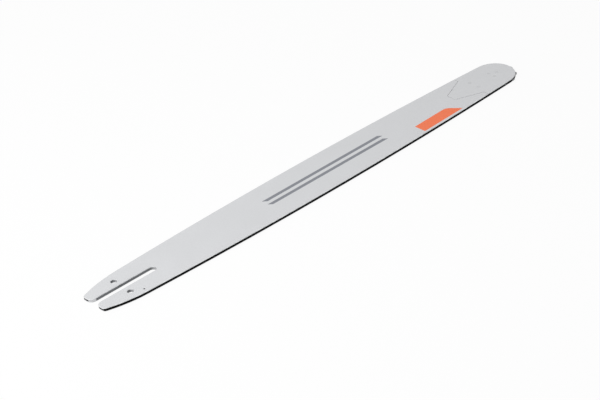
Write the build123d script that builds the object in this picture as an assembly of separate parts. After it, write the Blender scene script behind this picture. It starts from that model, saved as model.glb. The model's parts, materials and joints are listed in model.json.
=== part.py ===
from build123d import *
from math import asin, atan2, cos, hypot, pi, radians, sin, sqrt, tan
import os

# A chainsaw guide bar with a replaceable sprocket nose, lying flat on one face.
# The lower face is on Z = 0, +X runs along the bar to the nose and +Y runs across it.
# The origin is on the slot's centre line, midway between the two tensioner holes.
# All sizes are in millimetres, and angles are in degrees.

# Plate and rails
bar_length = 703.6  # from the tail end to the rim at the nose tip
bar_width = 76.8  # at the crown, the widest station
crown_station = 297.5  # the crown, ahead of the tensioner holes
rail_wall = 1.5  # steel on each side of the chain groove
groove_width = 1.6  # runs a chain of 1.5 gauge
groove_depth = 9.6
edge_chamfer = 0.6  # broken edge along the rails, the slot and the tensioner holes

# Tail
tail_setback = 43.0  # the tail end, behind the tensioner holes
tail_arc_start = 14.0  # where the rails turn in, ahead of the tensioner holes
tail_arc_radius = 185.0
tail_corner_radius = 5.0
slot_width = 9.3  # slides over two 9 mm bar studs
slot_reach = 50.5  # the closed end, ahead of the tensioner holes
slot_mouth_radius = 8.0
tensioner_hole_diameter = 7.6
tensioner_hole_spacing = 31.6
oil_hole_diameter = 2.4
oil_hole_station = 13.9  # ahead of the tensioner holes
oil_hole_lap = 2.7  # from the groove's floor out to the oil hole's centre
oil_hole_chamfer = 0.5

# Replaceable nose, set out from the front of the bar's tongue
nose_radius = 29.2
nose_rivet_margin = 4.4  # from the tongue's front back to the rivets
nose_rivet_spacing = 16.0
shoulder_margin = 10.9  # from the tongue's front back to where the joint crosses the rails
shoulder_depth = 8.0  # how far the joint runs straight in across each rail, to the wedge's root
wedge_length = 36.8  # from the shoulders back to the wedge's blunt end
wedge_end_width = 15.0
wedge_corner_radius = 3.5
joint_gap = 0.35  # all along the joint, between the bar and the cheeks

# Sprocket
tooth_count = 11
tooth_reach = 1.6  # tooth tips past the rim of the cheeks
gullet_depth = 8.6
gullet_radius = 4.3
gullet_draft = 25.0  # each flank, from the gullet's centre line
tooth_tip_fillet = 0.5
first_tooth_angle = -42.0
sprocket_side_gap = 0.12  # to each cheek
sprocket_front_gap = 1.2  # from the tooth tips to the bar's tongue

# Roller bearing
roller_count = 24
roller_diameter = 2.8
roller_spacing_gap = 0.05  # between neighbours
roller_end_gap = 0.05  # to each cheek
bearing_clearance = 0.03  # radial, inside and outside the rollers

# Rivets, with countersunk heads ground flush on both faces
rivet_diameter = 3.2
rivet_head_diameter = 5.2
rivet_rim = 0.15  # broken edge round each head
rivet_clearance = 0.03
race_rivet_count = 3
race_rivet_circle = 12.6  # diameter of the circle through their centres

# Heights and stations that follow from the sizes above
bar_thickness = 2 * rail_wall + groove_width
groove_top = rail_wall + groove_width
tail_end = -tail_setback
nose_tip = bar_length - tail_setback
nose_station = nose_tip - nose_radius
half_width = bar_width / 2
beyond = bar_width  # how far cutters run past the plate

# The crown arc has its middle at the crown and is tangent to the nose arc
crown_to_nose = nose_station - crown_station
crown_radius = (half_width**2 + crown_to_nose**2 - nose_radius**2) / (2 * (half_width - nose_radius))
crown_centre = Vector(crown_station, half_width - crown_radius)
nose_centre = Vector(nose_station, 0)
towards_nose_arc = (nose_centre - crown_centre).normalized()

# The tail arc is tangent to the crown arc where it starts
tail_start_angle = asin((crown_station - tail_arc_start) / crown_radius)
towards_tail_arc = Vector(-sin(tail_start_angle), cos(tail_start_angle))
tail_arc_centre = crown_centre + towards_tail_arc * (crown_radius - tail_arc_radius)

tooth_tip_radius = nose_radius + tooth_reach
tongue_front_radius = tooth_tip_radius + sprocket_front_gap
nose_rivet_station = nose_station - tongue_front_radius - nose_rivet_margin
shoulder_station = nose_station - tongue_front_radius - shoulder_margin
wedge_end_station = shoulder_station - wedge_length
roller_radius = roller_diameter / 2
roller_circle_radius = (roller_diameter + roller_spacing_gap) / (2 * sin(pi / roller_count))
race_radius = roller_circle_radius - roller_radius - bearing_clearance
sprocket_bore_radius = roller_circle_radius + roller_radius + bearing_clearance


def slab(sketch, bottom, top):
    """A flat sketch raised into a plate between two heights."""
    return extrude(Pos(0, 0, bottom) * sketch, top - bottom, dir=(0, 0, 1))


def height_on_arc(centre, radius, station):
    """The upper Y of a circle at one X."""
    return centre.Y + sqrt(radius**2 - (station - centre.X) ** 2)


def half_width_at(station):
    """Half the bar's width at one X, on the tail arc or the crown arc."""
    if station < tail_arc_start:
        return height_on_arc(tail_arc_centre, tail_arc_radius, station)
    return height_on_arc(crown_centre, crown_radius, station)


def upper_arc(centre, radius, start, end):
    """The upper arc of a circle between two of its points, given in order of X."""
    middle_station = (start.X + end.X) / 2
    middle = Vector(middle_station, height_on_arc(centre, radius, middle_station))
    return ThreePointArc(start, middle, end)


def bar_outline(inset, tail):
    """The bar seen from above, with its rails and nose drawn in by an inset, and its end at a tail X."""
    tail_corner = Vector(tail, height_on_arc(tail_arc_centre, tail_arc_radius - inset, tail))
    tail_start = crown_centre + towards_tail_arc * (crown_radius - inset)
    nose_start = crown_centre + towards_nose_arc * (crown_radius - inset)
    upper_side = [
        upper_arc(tail_arc_centre, tail_arc_radius - inset, tail_corner, tail_start),
        upper_arc(crown_centre, crown_radius - inset, tail_start, nose_start),
    ]
    lower_side = [mirror(edge, Plane.XZ) for edge in upper_side]
    tip = nose_centre + Vector(nose_radius - inset, 0)
    nose_arc = ThreePointArc(nose_start, tip, (nose_start.X, -nose_start.Y))
    tail_line = Line((tail, -tail_corner.Y), tail_corner)
    return make_face([tail_line, nose_arc] + upper_side + lower_side)


def mouth_rounding():
    """The radius at the slot's mouth, limited by the flat that the tail corner's rounding leaves."""
    corner_station = tail_end + tail_corner_radius
    flat_end = height_on_arc(tail_arc_centre, tail_arc_radius - tail_corner_radius, corner_station)
    return min(slot_mouth_radius, flat_end - slot_width / 2 - edge_chamfer)


def slot():
    """The stud slot seen from above, with a round closed end and a rounded mouth."""
    end_centre = slot_reach - slot_width / 2
    straight = end_centre - tail_end + beyond
    shape = Pos(end_centre - straight / 2, 0) * Rectangle(straight, slot_width)
    shape += Pos(end_centre, 0) * Circle(slot_width / 2)
    rounding = mouth_rounding()
    mouth_half = slot_width / 2 + rounding
    mouth = Pos(tail_end + rounding / 2, 0) * Rectangle(rounding, 2 * mouth_half)
    for side in (1, -1):
        mouth -= Pos(tail_end + rounding, side * mouth_half) * Circle(rounding)
    return shape + mouth


def plate():
    """The whole bar as one plate, cut for the studs and the tensioner, with its edges broken."""
    outline = bar_outline(0, tail_end)
    tail_corners = outline.vertices().sort_by(Axis.X)[:2]
    outline = fillet(tail_corners, tail_corner_radius) - slot()
    for side in (1, -1):
        outline -= Pos(0, side * tensioner_hole_spacing / 2) * Circle(tensioner_hole_diameter / 2)
    solid = slab(outline, 0, bar_thickness)
    faces = solid.faces().sort_by(Axis.Z)
    return chamfer(faces[0].edges() + faces[-1].edges(), edge_chamfer)


def nose_zone(gap):
    """All that lies ahead of the nose joint, clear of it by a gap: a wedge and two shoulders."""
    wedge_root = half_width_at(shoulder_station) - shoulder_depth
    flare = atan2(wedge_root - wedge_end_width / 2, wedge_length)
    drawn_in = gap * (1 - sin(flare)) / cos(flare)
    upper_side = [
        (wedge_end_station + gap, wedge_end_width / 2 - drawn_in),
        (shoulder_station + gap, wedge_root - drawn_in),
        (shoulder_station + gap, beyond),
        (nose_tip + beyond, beyond),
    ]
    lower_side = [(x, -y) for x, y in reversed(upper_side)]
    zone = make_face(Polyline(upper_side + lower_side, close=True))
    blunt_corners = zone.vertices().sort_by(Axis.X)[:2]
    return fillet(blunt_corners, wedge_corner_radius - gap)


def oil_hole():
    """A chamfered hole from the upper face into the chain groove."""
    hole_y = half_width_at(oil_hole_station) - groove_depth + oil_hole_lap
    hole_radius = oil_hole_diameter / 2
    profile = Polyline(
        (0, rail_wall),
        (hole_radius, rail_wall),
        (hole_radius, bar_thickness - oil_hole_chamfer),
        (hole_radius + oil_hole_chamfer, bar_thickness),
        (0, bar_thickness),
        close=True,
    )
    return Pos(oil_hole_station, -hole_y) * revolve(make_face(Plane.XZ * profile), Axis.Z)


def rivet_blank(grow):
    """A sharp-edged rivet through both faces on the Z axis, grown all round."""
    shank_radius = rivet_diameter / 2 + grow
    head_radius = rivet_head_diameter / 2 + grow
    head_depth = head_radius - shank_radius
    profile = Polyline(
        (0, 0),
        (head_radius, 0),
        (shank_radius, head_depth),
        (shank_radius, bar_thickness - head_depth),
        (head_radius, bar_thickness),
        (0, bar_thickness),
        close=True,
    )
    return revolve(make_face(Plane.XZ * profile), Axis.Z)


def rivets(places):
    """Like rivets with broken rims, each a separate solid."""
    blank = rivet_blank(0)
    ends = blank.faces().filter_by(GeomType.PLANE)
    rivet = chamfer(ends.edges(), rivet_rim)
    return Compound(children=[place * rivet for place in places])


def drill_for_rivets(solid, places):
    """Countersunk rivet holes, with the rivets' clearance."""
    for place in places:
        solid -= place * rivet_blank(rivet_clearance)
    return solid


def nose_rivet_places():
    """Two rivets that hold the cheeks to the bar's tongue."""
    return [Pos(nose_rivet_station, side * nose_rivet_spacing / 2) for side in (1, -1)]


def race_rivet_places():
    """A ring of rivets that clamp the race between the cheeks, one of them towards the tip."""
    ring = PolarLocations(race_rivet_circle / 2, race_rivet_count)
    return [Pos(nose_station, 0) * place for place in ring]


def bar_body(blank):
    """The plate behind the nose joint, with its groove and oil holes, and the tongue between the cheeks."""
    past_tail = tail_end - tail_corner_radius
    core = bar_outline(groove_depth, past_tail)
    around = bar_outline(-groove_depth, past_tail)
    tongue = (core & nose_zone(0)) - Pos(nose_station, 0) * Circle(tongue_front_radius)
    body = blank - slab(nose_zone(0), -beyond, beyond)
    body -= slab(around - core, rail_wall, groove_top)
    body += slab(tongue, rail_wall, groove_top)
    upper_oil_hole = oil_hole()
    body -= upper_oil_hole
    body -= Pos(0, 0, bar_thickness) * Rot(180, 0, 0) * upper_oil_hole
    return drill_for_rivets(body, nose_rivet_places())


def nose_cheek(blank, bottom, top):
    """One side plate of the nose."""
    cheek = blank & slab(nose_zone(joint_gap), bottom, top)
    return drill_for_rivets(cheek, nose_rivet_places() + race_rivet_places())


def nose_sprocket():
    """A star wheel whose gullets take the chain's drive links."""
    draft = radians(gullet_draft)
    gullet_station = tooth_tip_radius - gullet_depth + gullet_radius
    inner_x = gullet_station - gullet_radius * sin(draft)
    inner_y = gullet_radius * cos(draft)
    outer_x = tooth_tip_radius + gullet_radius
    outer_y = inner_y + (outer_x - inner_x) * tan(draft)
    corners = [(inner_x, inner_y), (outer_x, outer_y), (outer_x, -outer_y), (inner_x, -inner_y)]
    gullet = make_face(Polyline(corners, close=True)) + Pos(gullet_station, 0) * Circle(gullet_radius)
    star = Circle(tooth_tip_radius) - Circle(sprocket_bore_radius)
    pitch_angle = 360 / tooth_count
    for tooth in range(tooth_count):
        star -= Rot(0, 0, first_tooth_angle + (tooth + 0.5) * pitch_angle) * gullet
    tip_corners = [v for v in star.vertices() if hypot(v.X, v.Y) > tooth_tip_radius - tooth_tip_fillet]
    star = fillet(tip_corners, tooth_tip_fillet)
    return Pos(nose_station, 0) * slab(star, rail_wall + sprocket_side_gap, groove_top - sprocket_side_gap)


def bearing_race():
    """The fixed disc inside the rollers."""
    disc = Pos(nose_station, 0) * slab(Circle(race_radius), rail_wall, groove_top)
    return drill_for_rivets(disc, race_rivet_places())


def bearing_rollers():
    """The ring of loose rollers between the race and the sprocket."""
    roller = slab(Circle(roller_radius), rail_wall + roller_end_gap, groove_top - roller_end_gap)
    ring = PolarLocations(roller_circle_radius, roller_count)
    return [Pos(nose_station, 0) * place * roller for place in ring]


blank_plate = plate()
nodes = {
    "bar_body": bar_body(blank_plate),
    "upper_nose_cheek": nose_cheek(blank_plate, groove_top, bar_thickness),
    "lower_nose_cheek": nose_cheek(blank_plate, 0, rail_wall),
    "nose_sprocket": nose_sprocket(),
    "bearing_race": bearing_race(),
    "race_rivets": rivets(race_rivet_places()),
    "nose_rivets": rivets(nose_rivet_places()),
}
for number, roller in enumerate(bearing_rollers(), start=1):
    nodes[f"bearing_roller_{number:02d}"] = roller

os.makedirs("parts", exist_ok=True)
for name, shape in nodes.items():
    export_step(shape, f"parts/{name}.step")
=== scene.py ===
import json
from math import atan2, cos, hypot, pi, radians, sin, sqrt

import bmesh
import bpy
from bpy.props import FloatProperty, FloatVectorProperty, IntProperty, PointerProperty
from mathutils import Matrix, Vector


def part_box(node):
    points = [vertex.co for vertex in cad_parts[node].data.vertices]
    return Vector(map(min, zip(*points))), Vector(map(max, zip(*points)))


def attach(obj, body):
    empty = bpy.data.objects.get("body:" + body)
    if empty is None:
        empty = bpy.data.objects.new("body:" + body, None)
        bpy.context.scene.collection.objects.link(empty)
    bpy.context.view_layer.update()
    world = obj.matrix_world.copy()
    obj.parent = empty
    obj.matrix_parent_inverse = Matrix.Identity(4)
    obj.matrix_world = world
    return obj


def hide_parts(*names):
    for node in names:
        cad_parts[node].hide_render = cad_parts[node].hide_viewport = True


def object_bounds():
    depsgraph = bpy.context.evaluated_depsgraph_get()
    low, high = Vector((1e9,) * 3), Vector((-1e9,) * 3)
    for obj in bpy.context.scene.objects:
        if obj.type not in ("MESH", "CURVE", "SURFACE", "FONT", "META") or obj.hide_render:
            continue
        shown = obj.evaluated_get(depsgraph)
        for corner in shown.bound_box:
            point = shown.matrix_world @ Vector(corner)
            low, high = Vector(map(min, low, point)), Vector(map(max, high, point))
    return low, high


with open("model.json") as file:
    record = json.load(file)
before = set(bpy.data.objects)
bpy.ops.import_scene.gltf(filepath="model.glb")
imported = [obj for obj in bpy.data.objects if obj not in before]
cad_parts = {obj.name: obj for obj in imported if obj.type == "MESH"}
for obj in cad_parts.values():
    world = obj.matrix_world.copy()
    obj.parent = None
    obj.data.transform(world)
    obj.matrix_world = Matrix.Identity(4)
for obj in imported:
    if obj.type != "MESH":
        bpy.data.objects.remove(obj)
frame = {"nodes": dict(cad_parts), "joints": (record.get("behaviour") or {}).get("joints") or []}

bl_info = {
    "name": "Chainsaw Guide Bar",
    "version": (1, 0, 0),
    "blender": (4, 5, 0),
    "location": "3D View > Sidebar > Guide Bar",
    "description": "Dresses a chainsaw guide bar that has a replaceable sprocket nose",
    "category": "Object",
}

# Lengths are in metres, in the CAD frame: +X to the nose, +Y across the bar, +Z up from the lower face.
MM = 0.001
WELD = 0.001 * MM  # points that lie closer together than this are merged
CAD_LOW, CAD_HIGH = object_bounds()
NOSE_AXIS = Vector(next(j["pos_m"] for j in frame["joints"] if j["name"] == "sprocket_spin"))
TAIL_END = CAD_LOW.x
BAR_TOP = CAD_HIGH.z
WHEEL_LOW, WHEEL_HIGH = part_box("nose_sprocket")
ROLLER_LOW, ROLLER_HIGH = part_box("bearing_roller_01")
CHEEK_LOW, CHEEK_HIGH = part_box("upper_nose_cheek")
ROLLER_NODES = sorted(n for n in frame["nodes"] if n.startswith("bearing_roller_"))

# The Mix node's sockets for colours, by number, because its sockets for numbers have the same names.
MIX_SHARE, MIX_FROM, MIX_TO, MIX_RESULT = 0, 6, 7, 2
WHITE = (1, 1, 1, 1)


def linear(hex_colour):
    """An sRGB hex colour as linear red, green, blue and alpha."""
    channels = [int(hex_colour[i : i + 2], 16) / 255 for i in (1, 3, 5)]
    return tuple(c / 12.92 if c <= 0.04045 else ((c + 0.055) / 1.055) ** 2.4 for c in channels) + (1.0,)


def colour(name, description, hex_colour):
    """A colour property with its default given in sRGB hex."""
    return FloatVectorProperty(
        name=name,
        description=description,
        subtype="COLOR",
        size=4,
        min=0,
        max=1,
        default=linear(hex_colour),
    )


def length(name, description, metres):
    """A length property."""
    return FloatProperty(
        name=name, description=description, unit="LENGTH", subtype="DISTANCE", default=metres
    )


def angle(name, description, degrees):
    """An angle property with its default given in degrees."""
    return FloatProperty(
        name=name, description=description, unit="ROTATION", subtype="ANGLE", default=radians(degrees)
    )


def number(name, description, least, most, default):
    """A property that counts like things."""
    return IntProperty(name=name, description=description, min=least, max=most, default=default)


class PlateSettings(bpy.types.PropertyGroup):
    """Finish of the plate and of the two nose cheeks."""

    lacquer: colour("Lacquer", "The sprayed faces", "#D2D3D5")
    # Rail edge: steel rubbed bare along the rails, and a painted highlight: paler than the faces, so
    # the broken edge reads as a bright line.
    rail_wear_and_highlight: colour("Rail edge", "Steel where the lacquer has rubbed thin along the rails", "#E6E7E8")
    # Cut edge: lacquer thin on the broken edges of the slot and holes, and painted shade: darker than
    # the faces, where these edges lie in shade.
    cut_edge_and_shade: colour("Cut edge", "Steel where the lacquer is thin round the slot and holes", "#B2B3B5")
    rail: colour("Rail", "The hardened rims that carry the chain", "#17181A")
    # Groove: dark with chain oil, and painted shade of the deep narrow groove.
    groove: colour("Groove", "The oily chain groove", "#101011")
    # Cut wall: the walls' steel tone. cut_wall() paints the walls that face the tail paler, painted
    # light from the lamp beyond the tail.
    cut_wall: colour("Cut wall", "The thinly sprayed walls of the slot and the holes", "#77797C")
    peel: length("Peel", "Width of the lacquer's orange peel", 1.6 * MM)
    flake: length("Flake", "Width of the lacquer's silver flakes, drawn coarse to show", 0.45 * MM)
    rail_wall: length("Rail wall", "Steel on each side of the chain groove", BAR_TOP - CHEEK_LOW.z)
    edge_chamfer: length("Edge chamfer", "Broken edge along the rails, slot and holes", 0.6 * MM)
    slot_width: length("Slot width", "Width of the stud slot", 9.3 * MM)
    slot_reach: length("Slot reach", "Closed end of the stud slot", 50.5 * MM)
    mouth_radius: length("Mouth radius", "Rounding of the slot's mouth", 8.0 * MM)
    hole_diameter: length("Tensioner hole", "Diameter of the tensioner holes", 7.6 * MM)
    hole_spacing: length("Hole spacing", "Between the tensioner holes", 31.6 * MM)


class StarWheelSettings(bpy.types.PropertyGroup):
    """Sizes and finish of the star wheel in the nose."""

    teeth: number("Teeth", "Number of teeth", 5, 20, 11)
    tip_radius: length("Tip radius", "From the axis to the tooth tips", 30.8 * MM)
    gullet_depth: length("Gullet depth", "From the tooth tips to the gullet's floor", 8.6 * MM)
    gullet_radius: length("Gullet radius", "Of the gullet's round floor", 4.3 * MM)
    flank_draft: angle("Flank draft", "Each flank, from the gullet's centre line", 25.0)
    tip_fillet: length("Tip fillet", "Rounding of the tooth's corners", 0.5 * MM)
    bore_radius: length("Bore radius", "Of the track that the rollers run on", 12.347 * MM)
    first_tooth: angle("First tooth", "Direction of one tooth at rest", -42.0)
    edge_break: length("Edge break", "Tumbled edge along the whole outline", 0.12 * MM)
    steel: colour("Steel", "Hardened and oiled steel", "#6A6B6D")


class RollerSettings(bpy.types.PropertyGroup):
    """Sizes and finish of the roller bearing."""

    count: number("Rollers", "Number of rollers", 6, 60, len(ROLLER_NODES))
    diameter: length("Diameter", "Of each roller", ROLLER_HIGH.y - ROLLER_LOW.y)
    circle_radius: length(
        "Circle radius",
        "Of the circle through their axes",
        (ROLLER_LOW.x + ROLLER_HIGH.x) / 2 - NOSE_AXIS.x,
    )
    end_break: length("End break", "Rounding of the rollers' ends", 0.12 * MM)
    steel: colour("Steel", "Ground bearing steel", "#B4B5B7")


class RivetSettings(bpy.types.PropertyGroup):
    """Sizes and finish of the flush rivets."""

    shank_diameter: length("Shank", "Diameter of the shank", 3.2 * MM)
    head_diameter: length("Head", "Diameter of the countersunk head at the face", 5.0 * MM)
    rim_break: length("Rim break", "Broken edge round each head", 0.1 * MM)
    race_count: number("Race rivets", "Rivets that clamp the bearing race", 2, 8, 3)
    race_circle: length("Race circle", "Radius of the circle of race rivets", 6.3 * MM)
    nose_setback: length("Nose rivet setback", "From the wheel's axis to the nose rivets", 36.4 * MM)
    nose_spacing: length("Nose rivet spacing", "Between the two nose rivets", 16.0 * MM)
    steel: colour("Steel", "Rivet ends under a thin coat of lacquer", "#C8C9CB")


class PrintSettings(bpy.types.PropertyGroup):
    """Places and colours of the printed field and of the printed stripes."""

    field_ink: colour("Field ink", "Orange screen print", "#F47544")
    rear: length("Rear end", "Station of the field's square end", 470.6 * MM)
    front_inner: length("Front inner corner", "Where the slanted end meets the far edge", 528.0 * MM)
    front_outer: length("Front outer corner", "Where the slanted end meets the outer edge", 542.0 * MM)
    outer_margin: length("Outer margin", "From the rail in to the field", 3.0 * MM)
    inner_margin: length("Inner margin", "From the rail in to the field's far edge", 21.2 * MM)
    corner: length("Corner", "Rounding of the field's front inner corner", 6.0 * MM)
    stripe_ink: colour("Stripe ink", "Grey screen print", "#7E8188")
    stripe_rear: length("Stripe rear", "Station where the stripes start", 232.0 * MM)
    stripe_front: length("Stripe front", "Station where the stripes end", 424.0 * MM)
    stripe_width: length("Stripe width", "Width of each stripe", 5.0 * MM)
    stripe_gap: length("Stripe gap", "Between neighbouring stripes", 5.5 * MM)
    stripe_count: number("Stripes", "Number of stripes", 1, 6, 2)
    film: length("Film", "Height of the ink, drawn thick enough to clear the lacquer", 0.03 * MM)


class StageSettings(bpy.types.PropertyGroup):
    """Floor, light and camera."""

    paper: colour("Paper", "Matt white studio paper", "#F4F4F4")
    camera_place: FloatVectorProperty(
        name="Camera place",
        description="Where the photograph was taken from",
        subtype="TRANSLATION",
        unit="LENGTH",
        default=(-1.168026, -1.810245, 1.426599),
    )
    camera_turn: FloatVectorProperty(
        name="Camera turn",
        description="The camera's rotation",
        subtype="EULER",
        unit="ROTATION",
        default=(1.010499, 0.104397, -0.740155),
    )
    lens: FloatProperty(
        name="Lens",
        description="Focal length on a 36 mm sensor",
        subtype="DISTANCE_CAMERA",
        unit="CAMERA",
        default=131.92,
    )
    key: FloatProperty(
        name="Key light",
        description="Power of the large lamp high up beyond the tail",
        subtype="POWER",
        unit="POWER",
        default=19.2,
    )
    fill: FloatProperty(
        name="Surround", description="Strength of the light from all round", min=0, default=0.485
    )


class GuideBarSettings(bpy.types.PropertyGroup):
    """All the settings of the guide bar."""

    plate: PointerProperty(type=PlateSettings)
    wheel: PointerProperty(type=StarWheelSettings)
    rollers: PointerProperty(type=RollerSettings)
    rivets: PointerProperty(type=RivetSettings)
    label: PointerProperty(type=PrintSettings)
    stage: PointerProperty(type=StageSettings)


def add(tree, kind, links=None, **settings):
    """Adds a node, sets its settings, and gives its sockets values or other nodes' outputs."""
    node = tree.nodes.new(kind)
    for name, value in settings.items():
        setattr(node, name, value)
    for socket, source in (links or {}).items():
        if isinstance(source, bpy.types.NodeSocket):
            tree.links.new(source, node.inputs[socket])
        else:
            node.inputs[socket].default_value = source
    return node


def new_material(name, **constants):
    """A material with one shader, whose constant sockets are named with underscores for spaces."""
    material = bpy.data.materials.new(name)
    material.use_nodes = True
    shader = material.node_tree.nodes["Principled BSDF"]
    for socket, value in constants.items():
        shader.inputs[socket.replace("_", " ")].default_value = value
    return material, material.node_tree, shader


def tinted(rgba, share):
    """A colour made lighter or darker by a share."""
    return tuple(min(1.0, c * share) for c in rgba[:3]) + (1.0,)


def vary(tree, shader, pattern, rgba, tints, roughness):
    """Lets a pattern take the base colour from one tint to another, and the roughness with it."""
    low, high = (tinted(rgba, tint) for tint in tints)
    smoothest, roughest = roughness
    tone = add(
        tree, "ShaderNodeMix", {MIX_SHARE: pattern, MIX_FROM: low, MIX_TO: high}, data_type="RGBA"
    )
    gloss = add(tree, "ShaderNodeMapRange", {"Value": pattern, "To Min": smoothest, "To Max": roughest})
    tree.links.new(tone.outputs[MIX_RESULT], shader.inputs["Base Color"])
    tree.links.new(gloss.outputs[0], shader.inputs["Roughness"])


def silver_lacquer(plate):
    """Satin silver lacquer sprayed on ground steel: even pale grey, softened by flakes and peel."""
    cloud_width = 40 * MM
    peel_height = 0.02 * MM
    material, tree, shader = new_material("silver_lacquer_sprayed", Metallic=0.25, IOR=1.5)
    place = add(tree, "ShaderNodeTexCoord").outputs["Object"]
    cloud = add(tree, "ShaderNodeTexNoise", {"Vector": place, "Scale": 1 / cloud_width, "Detail": 3.0})
    flake = add(tree, "ShaderNodeTexVoronoi", {"Vector": place, "Scale": 1 / plate.flake})
    glint = add(tree, "ShaderNodeSeparateColor", {"Color": flake.outputs["Color"]})
    mottle = add(
        tree, "ShaderNodeMath", {0: cloud.outputs["Fac"], 1: glint.outputs["Red"]}, operation="ADD"
    )
    share = add(
        tree, "ShaderNodeMapRange", {"Value": mottle.outputs[0], "From Min": 0.3, "From Max": 1.7}
    )
    tone = add(
        tree, "ShaderNodeMix",
        {
            MIX_SHARE: share.outputs[0],
            MIX_FROM: tinted(plate.lacquer, 0.96),
            MIX_TO: tinted(plate.lacquer, 1.04),
        },
        data_type="RGBA",
    )
    gloss = add(
        tree, "ShaderNodeMapRange",
        {
            "Value": cloud.outputs["Fac"],
            "From Min": 0.3,
            "From Max": 0.7,
            "To Min": 0.48,
            "To Max": 0.58,
        },
    )
    peel = add(tree, "ShaderNodeTexNoise", {"Vector": place, "Scale": 1 / plate.peel, "Detail": 1.0})
    bump = add(
        tree, "ShaderNodeBump",
        {"Height": peel.outputs["Fac"], "Strength": 0.12, "Distance": peel_height},
    )
    tree.links.new(tone.outputs[MIX_RESULT], shader.inputs["Base Color"])
    tree.links.new(gloss.outputs[0], shader.inputs["Roughness"])
    tree.links.new(bump.outputs[0], shader.inputs["Normal"])
    return material


def thin_lacquer(name, plate, steel):
    """Lacquer thin on a broken edge: a fine line, patchy between the faces' tone and the steel's. The
    steel's tone also carries painted light: paler along the rails, a painted highlight, and darker
    round the slot and holes, painted shade.
    """
    patch_width = 6 * MM
    material, tree, shader = new_material(name, IOR=1.5)
    place = add(tree, "ShaderNodeTexCoord").outputs["Object"]
    rub = add(tree, "ShaderNodeTexNoise", {"Vector": place, "Scale": 1 / patch_width, "Detail": 4.0})
    bare = add(
        tree, "ShaderNodeMapRange", {"Value": rub.outputs["Fac"], "From Min": 0.45, "From Max": 0.6}
    )
    tone = add(
        tree, "ShaderNodeMix",
        {MIX_SHARE: bare.outputs[0], MIX_FROM: tuple(plate.lacquer), MIX_TO: tuple(steel)},
        data_type="RGBA",
    )
    shine = add(tree, "ShaderNodeMapRange", {"Value": bare.outputs[0], "To Min": 0.2, "To Max": 0.5})
    gloss = add(tree, "ShaderNodeMapRange", {"Value": bare.outputs[0], "To Min": 0.6, "To Max": 0.48})
    tree.links.new(tone.outputs[MIX_RESULT], shader.inputs["Base Color"])
    tree.links.new(shine.outputs[0], shader.inputs["Metallic"])
    tree.links.new(gloss.outputs[0], shader.inputs["Roughness"])
    return material


def hardened_rail(plate):
    """Hardened rail, ground and blued: near black, with grinding lines along it and a few scuffs."""
    line_length, line_width = 14 * MM, 0.25 * MM
    line_depth = 0.02 * MM
    scuff_width = 9 * MM
    material, tree, shader = new_material(
        "hardened_rail_blued", Metallic=0.0, IOR=1.5, Specular_IOR_Level=0.25
    )
    place = add(tree, "ShaderNodeTexCoord").outputs["Object"]
    along = add(
        tree, "ShaderNodeMapping",
        {"Vector": place, "Scale": (1 / line_length, 1 / line_length, 1 / line_width)},
    )
    lines = add(tree, "ShaderNodeTexNoise", {"Vector": along.outputs[0], "Scale": 1.0, "Detail": 2.0})
    scuff = add(tree, "ShaderNodeTexNoise", {"Vector": place, "Scale": 1 / scuff_width, "Detail": 5.0})
    scuffed = add(
        tree, "ShaderNodeMapRange", {"Value": scuff.outputs["Fac"], "From Min": 0.58, "From Max": 0.75}
    )
    tone = add(
        tree, "ShaderNodeMix",
        {MIX_SHARE: scuffed.outputs[0], MIX_FROM: tuple(plate.rail), MIX_TO: tinted(plate.rail, 4.0)},
        data_type="RGBA",
    )
    gloss = add(
        tree, "ShaderNodeMapRange", {"Value": lines.outputs["Fac"], "To Min": 0.38, "To Max": 0.62}
    )
    bump = add(
        tree, "ShaderNodeBump",
        {"Height": lines.outputs["Fac"], "Strength": 0.25, "Distance": line_depth},
    )
    tree.links.new(tone.outputs[MIX_RESULT], shader.inputs["Base Color"])
    tree.links.new(gloss.outputs[0], shader.inputs["Roughness"])
    tree.links.new(bump.outputs[0], shader.inputs["Normal"])
    return material


def groove_oil_and_shade(plate):
    """Milled groove, black with chain oil and with painted shade of the deep narrow recess: dark and a
    little wet, so the rails read as thin walls.
    """
    film_width = 5 * MM
    material, tree, shader = new_material("milled_groove_oiled_with_painted_shade", IOR=1.47, Specular_IOR_Level=0.3)
    place = add(tree, "ShaderNodeTexCoord").outputs["Object"]
    film = add(tree, "ShaderNodeTexNoise", {"Vector": place, "Scale": 1 / film_width, "Detail": 3.0})
    vary(tree, shader, film.outputs["Fac"], plate.groove, tints=(0.6, 2.0), roughness=(0.35, 0.65))
    return material


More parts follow.
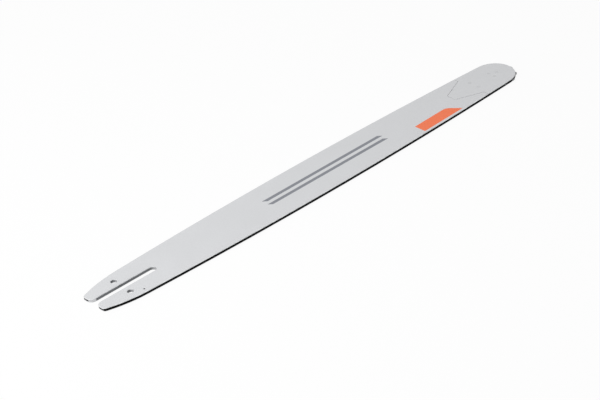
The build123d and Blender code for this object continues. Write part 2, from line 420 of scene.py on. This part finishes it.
def cut_wall(plate):
    """Punched steel: mid grey with upright lines, with painted light: paler where a wall faces the
    tail, towards the lamp.
    """
    line_width, line_length = 0.5 * MM, 8 * MM
    line_depth = 0.03 * MM
    material, tree, shader = new_material("punched_steel_with_painted_light", Metallic=0.2, Roughness=0.6)
    where = add(tree, "ShaderNodeTexCoord")
    upright = add(
        tree, "ShaderNodeMapping",
        {
            "Vector": where.outputs["Object"],
            "Scale": (1 / line_width, 1 / line_width, 1 / line_length),
        },
    )
    lines = add(tree, "ShaderNodeTexNoise", {"Vector": upright.outputs[0], "Scale": 1.0, "Detail": 2.0})
    tone = add(
        tree, "ShaderNodeMix",
        {
            MIX_SHARE: lines.outputs["Fac"],
            MIX_FROM: tinted(plate.cut_wall, 0.8),
            MIX_TO: tinted(plate.cut_wall, 1.2),
        },
        data_type="RGBA",
    )
    # Painted light and shade: a wall that faces the tail, towards the lamp, is painted paler than one
    # that faces across. sprayed is that share, and coat is the lit tone.
    facing = add(tree, "ShaderNodeSeparateXYZ", {"Vector": where.outputs["Normal"]})
    sprayed = add(
        tree, "ShaderNodeMapRange", {"Value": facing.outputs["X"], "From Min": -0.3, "From Max": -0.9}
    )
    coat = add(
        tree, "ShaderNodeMix",
        {
            MIX_SHARE: sprayed.outputs[0],
            MIX_FROM: tone.outputs[MIX_RESULT],
            MIX_TO: tinted(plate.lacquer, 0.8),
        },
        data_type="RGBA",
    )
    bump = add(
        tree, "ShaderNodeBump",
        {"Height": lines.outputs["Fac"], "Strength": 0.3, "Distance": line_depth},
    )
    tree.links.new(coat.outputs[MIX_RESULT], shader.inputs["Base Color"])
    tree.links.new(bump.outputs[0], shader.inputs["Normal"])
    return material


def wheel_steel(wheel):
    """Blanked spring steel, hardened and oiled: dark grey with a soft sheen and a slight heat tint."""
    tint_width = 4 * MM
    material, tree, shader = new_material("blanked_steel_hardened", Metallic=0.8)
    place = add(tree, "ShaderNodeTexCoord").outputs["Object"]
    tint = add(tree, "ShaderNodeTexNoise", {"Vector": place, "Scale": 1 / tint_width, "Detail": 4.0})
    vary(tree, shader, tint.outputs["Fac"], wheel.steel, tints=(0.7, 1.3), roughness=(0.32, 0.55))
    return material


def bearing_steel(rollers):
    """Ground bearing steel: bright, with the faint cross lines of centreless grinding."""
    line_length, line_width = 3 * MM, 0.1 * MM
    material, tree, shader = new_material("bearing_steel_ground", Metallic=1.0)
    place = add(tree, "ShaderNodeTexCoord").outputs["Object"]
    around = add(
        tree, "ShaderNodeMapping",
        {"Vector": place, "Scale": (1 / line_length, 1 / line_length, 1 / line_width)},
    )
    lines = add(tree, "ShaderNodeTexNoise", {"Vector": around.outputs[0], "Scale": 1.0, "Detail": 2.0})
    vary(tree, shader, lines.outputs["Fac"], rollers.steel, tints=(0.9, 1.1), roughness=(0.18, 0.32))
    return material


def rivet_steel(rivets):
    """Rivet ends ground flush and sprayed over: faint discs, a touch darker than the faces."""
    line_length, line_width = 4 * MM, 0.3 * MM
    material, tree, shader = new_material("rivet_ground_flush", Metallic=0.4, IOR=1.5)
    place = add(tree, "ShaderNodeTexCoord").outputs["Object"]
    grind = add(
        tree, "ShaderNodeMapping",
        {"Vector": place, "Scale": (1 / line_length, 1 / line_width, 1 / line_length)},
    )
    lines = add(tree, "ShaderNodeTexNoise", {"Vector": grind.outputs[0], "Scale": 1.0, "Detail": 2.0})
    vary(tree, shader, lines.outputs["Fac"], rivets.steel, tints=(0.92, 1.06), roughness=(0.36, 0.5))
    return material


def screen_ink(name, rgba):
    """Screen-printed ink over lacquer: flat and opaque, with the slight mottle that the mesh leaves."""
    grain_width = 1.2 * MM
    material, tree, shader = new_material(name, IOR=1.5)
    place = add(tree, "ShaderNodeTexCoord").outputs["Object"]
    mottle = add(tree, "ShaderNodeTexNoise", {"Vector": place, "Scale": 1 / grain_width, "Detail": 3.0})
    vary(tree, shader, mottle.outputs["Fac"], rgba, tints=(0.95, 1.05), roughness=(0.4, 0.52))
    return material


def link(mesh, name):
    """A new object at the origin that shows a mesh."""
    piece = bpy.data.objects.new(name, mesh)
    bpy.context.scene.collection.objects.link(piece)
    return piece


def smooth(mesh, degrees):
    """Smooth shading, with edges sharper than an angle left crisp."""
    mesh.shade_smooth()
    mesh.set_sharp_from_angle(angle=radians(degrees))


def take_out(mesh_builder, name):
    """A mesh from a bmesh, which is freed."""
    mesh = bpy.data.meshes.new(name)
    mesh_builder.to_mesh(mesh)
    mesh_builder.free()
    return mesh


def seat(piece, body, slot, *nodes):
    """Puts a finished piece on its body, in place of CAD nodes."""
    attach(piece, body)
    if nodes:
        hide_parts(*nodes)


def new_tree(name, sockets):
    """A geometry node tree with named inputs, its input node and its output node."""
    tree = bpy.data.node_groups.new(name, "GeometryNodeTree")
    tree.is_modifier = True
    tree.interface.new_socket("Geometry", in_out="INPUT", socket_type="NodeSocketGeometry")
    for socket, kind in sockets.items():
        tree.interface.new_socket(socket, in_out="INPUT", socket_type="NodeSocket" + kind)
    tree.interface.new_socket("Geometry", in_out="OUTPUT", socket_type="NodeSocketGeometry")
    return tree, tree.nodes.new("NodeGroupInput"), tree.nodes.new("NodeGroupOutput")


def end_tree(tree, geometry, given, made):
    """Ends a tree: moves what it made to its place, if one is given, and gives it the material."""
    if "Place" in given.outputs:
        move = {"Geometry": geometry, "Translation": given.outputs["Place"]}
        geometry = add(tree, "GeometryNodeTransform", move).outputs[0]
    real = add(tree, "GeometryNodeRealizeInstances", {"Geometry": geometry})
    dressed = add(
        tree, "GeometryNodeSetMaterial",
        {"Geometry": real.outputs[0], "Material": given.outputs["Material"]},
    )
    tree.links.new(dressed.outputs[0], made.inputs["Geometry"])


def grown(mesh, name, tree, values, edge_break=0.0):
    """An object at the origin with the plain mesh that a node tree grows, its edges broken if asked."""
    piece = link(mesh, name)
    modifier = piece.modifiers.new("Grow", "NODES")
    modifier.node_group = tree
    for item in tree.interface.items_tree:
        if item.in_out == "INPUT" and item.name in values:
            modifier[item.identifier] = values[item.name]
    if edge_break:
        bevel = piece.modifiers.new("Break", "BEVEL")
        bevel.width = edge_break
        bevel.segments = 2
        bevel.limit_method = "ANGLE"
        bevel.angle_limit = radians(40)
    evaluated = piece.evaluated_get(bpy.context.evaluated_depsgraph_get())
    plain = bpy.data.meshes.new_from_object(evaluated)
    plain.name = name
    piece.modifiers.clear()
    piece.data = plain
    if not plain.polygons:
        raise RuntimeError(f"{name} came out empty")
    smooth(plain, degrees=35)
    return piece


class GUIDEBAR_OT_plate(bpy.types.Operator):
    """Finishes the plate and the two nose cheeks, with a material for each kind of surface"""

    bl_idname = "guidebar.plate"
    bl_label = "Plate and Cheeks"

    def execute(self, context):
        plate = context.scene.guide_bar.plate
        materials = {
            "lacquer": silver_lacquer(plate),
            # Along the rails the broken edge is painted paler than the faces, a painted highlight over
            # real rubbing.
            "rail edge": thin_lacquer("lacquer_rubbed_with_painted_highlight", plate, plate.rail_wear_and_highlight),
            # Round the slot and holes the broken edge is painted darker than the faces, painted shade
            # over thin lacquer.
            "cut edge": thin_lacquer("lacquer_sprayed_thin_with_painted_shade", plate, plate.cut_edge_and_shade),
            "rail": hardened_rail(plate),
            "groove": groove_oil_and_shade(plate),
            "cut": cut_wall(plate),
        }
        order = list(materials)
        for node, name in (
            ("bar_body", "bar_plate"),
            ("upper_nose_cheek", "upper_cheek"),
            ("lower_nose_cheek", "lower_cheek"),
        ):
            shape = bmesh.new()
            shape.from_mesh(frame["nodes"][node].data)
            bmesh.ops.remove_doubles(shape, verts=shape.verts, dist=WELD)
            for face in shape.faces:
                face.material_index = order.index(surface_kind(face, node, plate))
            mesh = take_out(shape, name)
            for attribute in [a for a in mesh.attributes if a.name in ("custom_normal", "UVMap")]:
                mesh.attributes.remove(attribute)
            for kind in order:
                mesh.materials.append(materials[kind])
            smooth(mesh, degrees=25)
            seat(link(mesh, name), "bar", "bar_lacquer", node)
        return {"FINISHED"}


def surface_kind(face, node, plate):
    """Which finish one face of the plate or a cheek has, by its direction and place."""
    near = 0.01 * MM
    level, sloping = 0.99, 0.5  # how far a flat face and a broken edge look up or down, at least
    square_end, turned_in = -0.999, -0.05  # how the tail's end and the mouth's rounding look back
    outward = 0.5  # how far a rail looks out, at least
    rail_distance = 15 * MM  # of a rail from the middle line or the nose's axis, at least
    middle = face.calc_center_median()
    facing = face.normal
    on_face = middle.z < near or middle.z > BAR_TOP - near
    if abs(facing.z) > level:
        return "lacquer" if on_face else "groove"
    in_groove = plate.rail_wall < middle.z < BAR_TOP - plate.rail_wall
    if node == "bar_body" and in_groove and all(
        plate.rail_wall - near < v.co.z < BAR_TOP - plate.rail_wall + near for v in face.verts
    ):
        return "groove"
    reach = plate.edge_chamfer + near
    half_slot = plate.slot_width / 2 + reach
    in_slot = middle.x < plate.slot_reach + reach and abs(middle.y) < half_slot
    from_hole = hypot(middle.x, abs(middle.y) - plate.hole_spacing / 2)
    in_hole = from_hole < plate.hole_diameter / 2 + reach
    if abs(facing.z) > sloping:
        at_mouth = middle.x < 0 and abs(middle.y) < half_slot + plate.mouth_radius
        return "cut edge" if in_slot or in_hole else "lacquer" if at_mouth else "rail edge"
    towards_slot = facing.y * middle.y < 0
    at_tail = middle.x < TAIL_END + plate.mouth_radius
    if at_tail and (facing.x < square_end or (towards_slot and facing.x < turned_in)):
        return "lacquer"
    if node == "bar_body" and (in_slot or in_hole):
        return "cut"
    outwards = Vector((max(0, middle.x - NOSE_AXIS.x), middle.y))
    on_rim = outwards.dot(Vector((facing.x, facing.y))) > outward * outwards.length
    return "rail" if on_rim and outwards.length > rail_distance else "cut"


def tooth_outline(wheel):
    """One tooth on the X axis, as points from the gullet's floor on one side to that on the other."""
    floor_steps, fillet_steps = 10, 4
    half_pitch = pi / wheel.teeth
    along = Vector((cos(wheel.flank_draft), -sin(wheel.flank_draft)))
    across = Vector((-sin(wheel.flank_draft), -cos(wheel.flank_draft)))
    gullet_centre = Vector((wheel.tip_radius - wheel.gullet_depth + wheel.gullet_radius, 0))
    flank_start = gullet_centre + across * wheel.gullet_radius
    offset_start = flank_start + across * wheel.tip_fillet
    reach = wheel.tip_radius - wheel.tip_fillet
    lean = offset_start.dot(along)
    run = -lean + sqrt(lean**2 - offset_start.length_squared + reach**2)
    fillet_centre = offset_start + along * run
    points = []
    for step in range(floor_steps + 1):
        turn = pi + (pi / 2 - wheel.flank_draft) * step / floor_steps
        points.append(gullet_centre + Vector((cos(turn), sin(turn))) * wheel.gullet_radius)
    points.append(flank_start + along * (run / 2))
    from_turn = atan2(-across.y, -across.x)
    to_turn = atan2(fillet_centre.y, fillet_centre.x)
    for step in range(fillet_steps + 1):
        turn = from_turn + (to_turn - from_turn) * step / fillet_steps
        points.append(fillet_centre + Vector((cos(turn), sin(turn))) * wheel.tip_fillet)
    rising = [Matrix.Rotation(half_pitch, 2) @ p for p in points]
    edge_turn = atan2(rising[-1].y, rising[-1].x)
    land = [Vector((cos(turn), sin(turn))) * wheel.tip_radius for turn in (edge_turn / 2, 0)]
    falling = [Vector((p.x, -p.y)) for p in reversed(rising)]
    return rising + land + falling


def star_wheel_tree():
    """Repeats one tooth round the axis, closes the outline, cuts the bore and makes it thick."""
    bore_sides = 120
    tree, given, made = new_tree(
        "Star wheel",
        {
            "Teeth": "Int",
            "First tooth": "Float",
            "Bore radius": "Float",
            "Thickness": "Float",
            "Place": "Vector",
            "Material": "Material",
        },
    )
    index = add(tree, "GeometryNodeInputIndex")
    pitch = add(tree, "ShaderNodeMath", {0: 2 * pi, 1: given.outputs["Teeth"]}, operation="DIVIDE")
    turn = add(
        tree, "ShaderNodeMath",
        {0: index.outputs[0], 1: pitch.outputs[0], 2: given.outputs["First tooth"]},
        operation="MULTIPLY_ADD",
    )
    about_axis = add(tree, "ShaderNodeCombineXYZ", {"Z": turn.outputs[0]})
    points = add(tree, "GeometryNodePoints", {"Count": given.outputs["Teeth"]})
    teeth = add(
        tree, "GeometryNodeInstanceOnPoints",
        {
            "Points": points.outputs[0],
            "Instance": given.outputs["Geometry"],
            "Rotation": about_axis.outputs[0],
        },
    )
    loose = add(tree, "GeometryNodeRealizeInstances", {"Geometry": teeth.outputs[0]})
    closed = add(tree, "GeometryNodeMergeByDistance", {"Geometry": loose.outputs[0], "Distance": WELD})
    outline = add(tree, "GeometryNodeMeshToCurve", {"Mesh": closed.outputs[0]})
    bore = add(
        tree, "GeometryNodeCurvePrimitiveCircle",
        {"Resolution": bore_sides, "Radius": given.outputs["Bore radius"]},
    )
    outlines = add(tree, "GeometryNodeJoinGeometry", {"Geometry": outline.outputs[0]})
    tree.links.new(bore.outputs[0], outlines.inputs["Geometry"])
    lower = add(tree, "GeometryNodeFillCurve", {"Curve": outlines.outputs[0]}, mode="NGONS")
    upper = add(
        tree, "GeometryNodeExtrudeMesh",
        {
            "Mesh": lower.outputs[0],
            "Offset": (0, 0, 1),
            "Offset Scale": given.outputs["Thickness"],
            "Individual": False,
        },
        mode="FACES",
    )
    underside = add(tree, "GeometryNodeFlipFaces", {"Mesh": lower.outputs[0]})
    shell = add(tree, "GeometryNodeJoinGeometry", {"Geometry": upper.outputs["Mesh"]})
    tree.links.new(underside.outputs[0], shell.inputs["Geometry"])
    solid = add(tree, "GeometryNodeMergeByDistance", {"Geometry": shell.outputs[0], "Distance": WELD})
    end_tree(tree, solid.outputs[0], given, made)
    return tree


class GUIDEBAR_OT_star_wheel(bpy.types.Operator):
    """Makes the star wheel that carries the chain round the nose"""

    bl_idname = "guidebar.star_wheel"
    bl_label = "Star Wheel"

    def execute(self, context):
        wheel = context.scene.guide_bar.wheel
        shape = bmesh.new()
        corners = [shape.verts.new((p.x, p.y, 0)) for p in tooth_outline(wheel)]
        for start, end in zip(corners, corners[1:]):
            shape.edges.new((start, end))
        values = {
            "Teeth": wheel.teeth,
            "First tooth": wheel.first_tooth,
            "Bore radius": wheel.bore_radius,
            "Thickness": WHEEL_HIGH.z - WHEEL_LOW.z,
            "Place": (NOSE_AXIS.x, NOSE_AXIS.y, WHEEL_LOW.z),
            "Material": wheel_steel(wheel),
        }
        tooth = take_out(shape, "star_wheel")
        piece = grown(tooth, "star_wheel", star_wheel_tree(), values, wheel.edge_break)
        seat(piece, "sprocket", "sprocket_steel", "nose_sprocket")
        return {"FINISHED"}


def roller_tree():
    """Sets rollers round a circle."""
    roller_sides = 32
    tree, given, made = new_tree(
        "Roller ring",
        {
            "Rollers": "Int",
            "Roller radius": "Float",
            "Roller length": "Float",
            "Circle radius": "Float",
            "Place": "Vector",
            "Material": "Material",
        },
    )
    circle = add(
        tree, "GeometryNodeMeshCircle",
        {"Vertices": given.outputs["Rollers"], "Radius": given.outputs["Circle radius"]},
    )
    roller = add(
        tree, "GeometryNodeMeshCylinder",
        {
            "Vertices": roller_sides,
            "Radius": given.outputs["Roller radius"],
            "Depth": given.outputs["Roller length"],
        },
    )
    ring = add(
        tree, "GeometryNodeInstanceOnPoints",
        {"Points": circle.outputs[0], "Instance": roller.outputs["Mesh"]},
    )
    end_tree(tree, ring.outputs[0], given, made)
    return tree


class GUIDEBAR_OT_rollers(bpy.types.Operator):
    """Makes the ring of rollers and finishes the bearing race"""

    bl_idname = "guidebar.rollers"
    bl_label = "Roller Bearing"

    def execute(self, context):
        rollers = context.scene.guide_bar.rollers
        steel = bearing_steel(rollers)
        values = {
            "Rollers": rollers.count,
            "Roller radius": rollers.diameter / 2,
            "Roller length": ROLLER_HIGH.z - ROLLER_LOW.z,
            "Circle radius": rollers.circle_radius,
            "Place": tuple(NOSE_AXIS),
            "Material": steel,
        }
        empty = bpy.data.meshes.new("roller_ring")
        piece = grown(empty, "roller_ring", roller_tree(), values, rollers.end_break)
        seat(piece, "roller_set", "bearing_steel", *ROLLER_NODES)
        frame["nodes"]["bearing_race"].material_slots[0].material = steel
        return {"FINISHED"}


def turned(profile, sides):
    """A solid turned round the Z axis, from radii and heights that start and end on the axis."""
    shape = bmesh.new()
    low = shape.verts.new((0, 0, profile[0][1]))
    high = shape.verts.new((0, 0, profile[-1][1]))
    turns = [2 * pi * i / sides for i in range(sides)]
    rings = []
    for radius, height in profile[1:-1]:
        rings.append([shape.verts.new((radius * cos(t), radius * sin(t), height)) for t in turns])
    for i in range(sides):
        j = (i + 1) % sides
        shape.faces.new((low, rings[0][j], rings[0][i]))
        shape.faces.new((high, rings[-1][i], rings[-1][j]))
        for below, above in zip(rings, rings[1:]):
            shape.faces.new((below[i], below[j], above[j], above[i]))
    return shape


def rivet_tree():
    """Sets a rivet on a ring round the axis and on two places behind it."""
    tree, given, made = new_tree(
        "Rivet pattern",
        {
            "Race rivets": "Int",
            "Race circle": "Float",
            "Nose setback": "Float",
            "Nose spacing": "Float",
            "Place": "Vector",
            "Material": "Material",
        },
    )
    ring = add(
        tree, "GeometryNodeMeshCircle",
        {"Vertices": given.outputs["Race rivets"], "Radius": given.outputs["Race circle"]},
    )
    setback, spacing = given.outputs["Nose setback"], given.outputs["Nose spacing"]
    back = add(tree, "ShaderNodeMath", {0: setback, 1: -1.0}, operation="MULTIPLY")
    aside = add(tree, "ShaderNodeMath", {0: spacing, 1: -0.5}, operation="MULTIPLY")
    start = add(tree, "ShaderNodeCombineXYZ", {"X": back.outputs[0], "Y": aside.outputs[0]})
    step = add(tree, "ShaderNodeCombineXYZ", {"Y": spacing})
    pair = add(
        tree, "GeometryNodeMeshLine",
        {"Count": 2, "Start Location": start.outputs[0], "Offset": step.outputs[0]},
        mode="OFFSET",
    )
    places = add(tree, "GeometryNodeJoinGeometry", {"Geometry": ring.outputs[0]})
    tree.links.new(pair.outputs[0], places.inputs["Geometry"])
    rivets = add(
        tree, "GeometryNodeInstanceOnPoints",
        {"Points": places.outputs[0], "Instance": given.outputs["Geometry"]},
    )
    end_tree(tree, rivets.outputs[0], given, made)
    return tree


class GUIDEBAR_OT_rivets(bpy.types.Operator):
    """Makes the flush rivets of the nose"""

    bl_idname = "guidebar.rivets"
    bl_label = "Rivets"

    def execute(self, context):
        rivets = context.scene.guide_bar.rivets
        rim_lean = 0.4  # how far the broken edge leans out for its height
        shank = rivets.shank_diameter / 2
        head = rivets.head_diameter / 2
        rim = rivets.rim_break
        widest = head + rim_lean * rim
        cone = widest - shank
        half = [(0, 0), (head, 0), (widest, rim), (shank, rim + cone)]
        profile = half + [(radius, BAR_TOP - height) for radius, height in reversed(half)]
        values = {
            "Race rivets": rivets.race_count,
            "Race circle": rivets.race_circle,
            "Nose setback": rivets.nose_setback,
            "Nose spacing": rivets.nose_spacing,
            "Place": (NOSE_AXIS.x, NOSE_AXIS.y, 0),
            "Material": rivet_steel(rivets),
        }
        rivet = take_out(turned(profile, sides=48), "flush_rivets")
        piece = grown(rivet, "flush_rivets", rivet_tree(), values)
        seat(piece, "bar", "rivet_steel", "race_rivets", "nose_rivets")
        return {"FINISHED"}


def rail_half_width(station):
    """Half the bar's width at a station on the crown arc, which ends tangent to the nose."""
    crown = max(frame["nodes"]["bar_body"].data.vertices, key=lambda v: v.co.y).co
    nose_radius = CHEEK_HIGH.x - NOSE_AXIS.x
    run = NOSE_AXIS.x - crown.x
    radius = (crown.y**2 + run**2 - nose_radius**2) / (2 * (crown.y - nose_radius))
    return crown.y - radius + sqrt(radius**2 - (station - crown.x) ** 2)


def field_outline(label):
    """The printed field's corners and edges, anticlockwise from its rear outer corner."""
    edge_steps, corner_steps = 24, 8
    outer, inner = [], []
    for i in range(edge_steps + 1):
        for row, front, margin in (
            (outer, label.front_outer, label.outer_margin),
            (inner, label.front_inner, label.inner_margin),
        ):
            station = label.rear + (front - label.rear) * i / edge_steps
            row.append(Vector((station, margin - rail_half_width(station))))
    corner = inner.pop()
    start = corner + (outer[-1] - corner).normalized() * label.corner
    end = corner + (inner[-1] - corner).normalized() * label.corner
    inner = [p for p in inner if (p - corner).length > label.corner]
    rounding = []
    for i in range(corner_steps + 1):
        share = i / corner_steps
        rounding.append(start * (1 - share) ** 2 + corner * 2 * share * (1 - share) + end * share**2)
    return outer + rounding + inner[::-1]


def inked(name, outline, film, ink):
    """A thin closed film of ink on the upper face, from an anticlockwise outline."""
    shape = bmesh.new()
    low = [shape.verts.new((p.x, p.y, BAR_TOP - film)) for p in outline]
    high = [shape.verts.new((p.x, p.y, BAR_TOP + film)) for p in outline]
    for i in range(len(outline)):
        j = (i + 1) % len(outline)
        shape.faces.new((low[i], low[j], high[j], high[i]))
    caps = [shape.faces.new(high), shape.faces.new(low[::-1])]
    bmesh.ops.triangulate(shape, faces=caps)
    mesh = take_out(shape, name)
    mesh.materials.append(ink)
    return link(mesh, name)


def stripe_tree():
    """Sets like stripes side by side across the middle of the bar."""
    tree, given, made = new_tree(
        "Stripe pattern", {"Stripes": "Int", "Spacing": "Float", "Material": "Material"}
    )
    stripe_count, spacing = given.outputs["Stripes"], given.outputs["Spacing"]
    gaps = add(tree, "ShaderNodeMath", {0: stripe_count, 1: 1.0}, operation="SUBTRACT")
    across = add(tree, "ShaderNodeMath", {0: gaps.outputs[0], 1: spacing}, operation="MULTIPLY")
    back = add(tree, "ShaderNodeMath", {0: across.outputs[0], 1: -0.5}, operation="MULTIPLY")
    start = add(tree, "ShaderNodeCombineXYZ", {"Y": back.outputs[0]})
    step = add(tree, "ShaderNodeCombineXYZ", {"Y": spacing})
    places = add(
        tree, "GeometryNodeMeshLine",
        {"Count": stripe_count, "Start Location": start.outputs[0], "Offset": step.outputs[0]},
        mode="OFFSET",
    )
    stripes = add(
        tree, "GeometryNodeInstanceOnPoints",
        {"Points": places.outputs[0], "Instance": given.outputs["Geometry"]},
    )
    end_tree(tree, stripes.outputs[0], given, made)
    return tree


class GUIDEBAR_OT_print(bpy.types.Operator):
    """Prints the orange field along the near rail and the grey stripes along the middle of the face"""

    bl_idname = "guidebar.print"
    bl_label = "Print"

    def execute(self, context):
        label = context.scene.guide_bar.label
        orange = screen_ink("screen_ink_orange", label.field_ink)
        seat(inked("printed_field", field_outline(label), label.film, orange), "bar", "print_ink")
        grey = screen_ink("screen_ink_grey", label.stripe_ink)
        half = label.stripe_width / 2
        slant = label.stripe_width
        outline = [
            Vector((label.stripe_rear, -half)),
            Vector((label.stripe_front + slant, -half)),
            Vector((label.stripe_front, half)),
            Vector((label.stripe_rear - slant, half)),
        ]
        values = {
            "Stripes": label.stripe_count,
            "Spacing": label.stripe_width + label.stripe_gap,
            "Material": grey,
        }
        one = inked("printed_stripe", outline, label.film, grey)
        piece = grown(one.data, "printed_stripes", stripe_tree(), values)
        bpy.data.objects.remove(one)
        seat(piece, "bar", "print_ink")
        return {"FINISHED"}


def seen_plainly(tree):
    """One where the camera, a reflection or glass sees a thing, zero where it only lights others."""
    path = add(tree, "ShaderNodeLightPath")
    direct = add(
        tree, "ShaderNodeMath",
        {0: path.outputs["Is Camera Ray"], 1: path.outputs["Is Glossy Ray"]},
        operation="MAXIMUM",
    )
    through = add(
        tree, "ShaderNodeMath",
        {0: direct.outputs[0], 1: path.outputs["Is Transmission Ray"]},
        operation="MAXIMUM",
    )
    return through.outputs[0]


def studio_paper(stage):
    """Matt white studio paper: nearly white to the camera, with the bar's soft shadow left in."""
    white_share = 0.9
    material, tree, shader = new_material(
        "studio_paper_matt", Base_Color=tuple(stage.paper), Roughness=0.9
    )
    share = add(tree, "ShaderNodeMath", {0: seen_plainly(tree), 1: white_share}, operation="MULTIPLY")
    white = add(tree, "ShaderNodeEmission", {"Color": WHITE, "Strength": 1.0})
    both = add(
        tree, "ShaderNodeMixShader", {0: share.outputs[0], 1: shader.outputs[0], 2: white.outputs[0]}
    )
    tree.links.new(both.outputs[0], tree.nodes["Material Output"].inputs["Surface"])
    return material


class GUIDEBAR_OT_stage(bpy.types.Operator):
    """Sets the floor, the light and the camera"""

    bl_idname = "guidebar.stage"
    bl_label = "Stage"

    def execute(self, context):
        stage = context.scene.guide_bar.stage
        scene = context.scene
        scene.view_settings.view_transform = "Standard"

        floor_half_width = 12.0
        floor_drop = 0.05 * MM
        sheet = bmesh.new()
        bmesh.ops.create_grid(sheet, x_segments=1, y_segments=1, size=floor_half_width)
        mesh = take_out(sheet, "studio_floor")
        mesh.transform(Matrix.Translation((0, 0, -floor_drop)))
        mesh.materials.append(studio_paper(stage))
        link(mesh, "studio_floor")

        world = bpy.data.worlds.new("studio_surround")
        world.use_nodes = True
        scene.world = world
        tree = world.node_tree
        strength = add(
            tree, "ShaderNodeMapRange",
            {"Value": seen_plainly(tree), "To Min": stage.fill, "To Max": 1.0},
        )
        background = tree.nodes["Background"]
        background.inputs["Color"].default_value = WHITE
        tree.links.new(strength.outputs[0], background.inputs["Strength"])

        aim = Vector((0.25, 0, 0))
        lamp = bpy.data.lights.new("soft_key", "AREA")
        lamp.shape = "SQUARE"
        lamp.size = 1.4
        lamp.energy = stage.key
        key = bpy.data.objects.new("soft_key", lamp)
        key.location = (-0.6, 0.15, 1.45)
        key.rotation_euler = (aim - key.location).to_track_quat("-Z", "Y").to_euler()
        scene.collection.objects.link(key)

        view = bpy.data.cameras.new("photo_camera")
        view.sensor_width = 36
        view.lens = stage.lens
        view.clip_start = 0.05
        view.clip_end = 60
        camera = bpy.data.objects.new("photo_camera", view)
        camera.location = stage.camera_place
        camera.rotation_euler = stage.camera_turn
        scene.collection.objects.link(camera)
        scene.camera = camera
        return {"FINISHED"}


class VIEW3D_PT_guide_bar(bpy.types.Panel):
    """Lists the guide bar's pieces in the sidebar"""

    bl_label = "Guide Bar"
    bl_space_type = "VIEW_3D"
    bl_region_type = "UI"
    bl_category = "Guide Bar"

    def draw(self, context):
        settings = context.scene.guide_bar
        for operator, group in (
            (GUIDEBAR_OT_plate, settings.plate),
            (GUIDEBAR_OT_star_wheel, settings.wheel),
            (GUIDEBAR_OT_rollers, settings.rollers),
            (GUIDEBAR_OT_rivets, settings.rivets),
            (GUIDEBAR_OT_print, settings.label),
            (GUIDEBAR_OT_stage, settings.stage),
        ):
            box = self.layout.box()
            box.operator(operator.bl_idname)
            for name in group.bl_rna.properties.keys():
                if name not in ("rna_type", "name"):
                    box.prop(group, name)


CLASSES = (
    PlateSettings,
    StarWheelSettings,
    RollerSettings,
    RivetSettings,
    PrintSettings,
    StageSettings,
    GuideBarSettings,
    GUIDEBAR_OT_plate,
    GUIDEBAR_OT_star_wheel,
    GUIDEBAR_OT_rollers,
    GUIDEBAR_OT_rivets,
    GUIDEBAR_OT_print,
    GUIDEBAR_OT_stage,
    VIEW3D_PT_guide_bar,
)


def register():
    for cls in CLASSES:
        bpy.utils.register_class(cls)
    bpy.types.Scene.guide_bar = PointerProperty(type=GuideBarSettings)


def unregister():
    del bpy.types.Scene.guide_bar
    for cls in reversed(CLASSES):
        bpy.utils.unregister_class(cls)


def main():
    """Builds every piece and the stage."""
    register()
    bpy.ops.guidebar.plate()
    bpy.ops.guidebar.star_wheel()
    bpy.ops.guidebar.rollers()
    bpy.ops.guidebar.rivets()
    bpy.ops.guidebar.print()
    bpy.ops.guidebar.stage()


if __name__ == "__main__":
    main()
